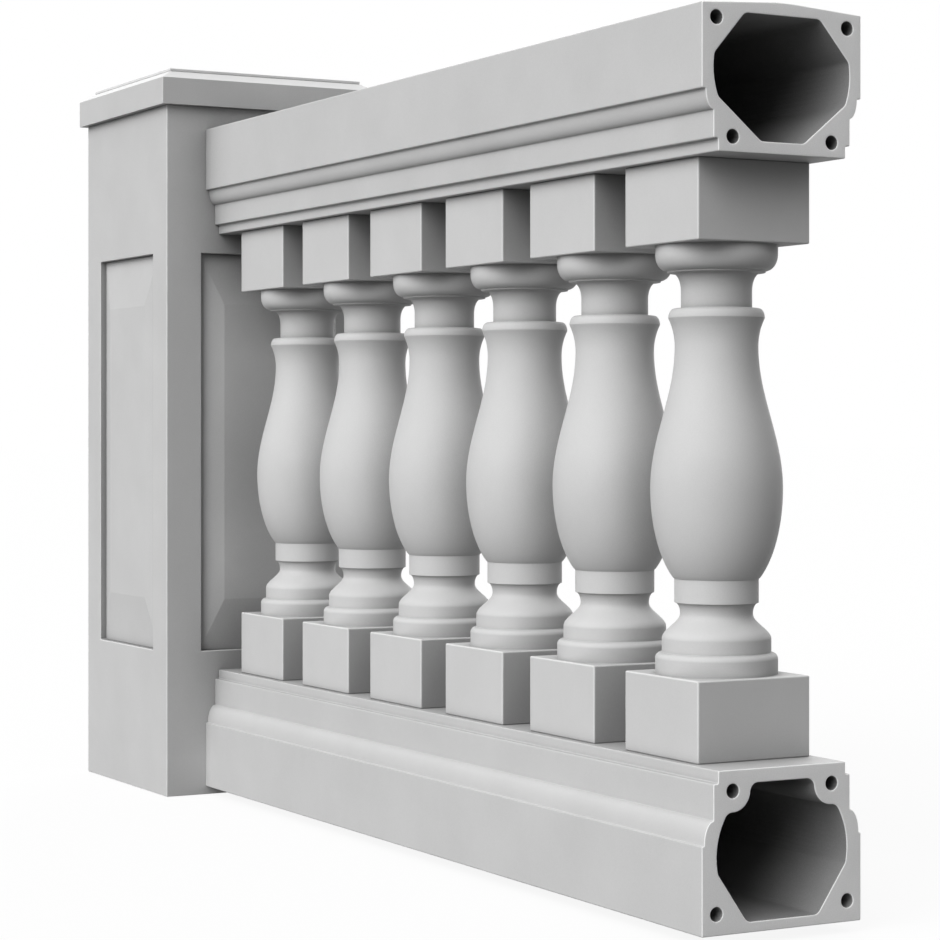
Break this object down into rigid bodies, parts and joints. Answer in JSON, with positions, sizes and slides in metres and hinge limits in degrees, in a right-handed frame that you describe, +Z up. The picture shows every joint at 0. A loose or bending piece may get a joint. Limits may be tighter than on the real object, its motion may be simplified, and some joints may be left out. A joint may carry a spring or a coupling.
{
  "type": "composite baluster railing",
  "caption": "Railing section with a panelled square newel post, moulded hollow top and bottom rails, and a row of turned vase balusters with square blocks.",
  "frame": {"origin": "centre of the newel post's foot, on the ground", "axes": "+X along the rails from the post to their free end, -Y towards the front, +Z up"},
  "size_m": [1.5355, 0.324, 0.995],
  "materials": {
    "post_shell": "matte moulded composite",
    "post_panel": "matte moulded composite",
    "post_cap": "matte moulded composite",
    "rail": "matte moulded composite",
    "baluster": "matte cast composite"
  },
  "bodies": {
    "root": {"post_half_front": "post_shell", "post_half_back": "post_shell", "post_panel_front": "post_panel", "post_panel_back": "post_panel", "post_panel_rail_side": "post_panel", "post_panel_outer_side": "post_panel", "post_cap_slab": "post_cap", "post_cap_plate": "post_cap", "bottom_rail": "rail", "top_rail": "rail", "baluster_1": "baluster", "baluster_2": "baluster", "baluster_3": "baluster", "baluster_4": "baluster", "baluster_5": "baluster", "baluster_6": "baluster"}
  },
  "joints": []
}
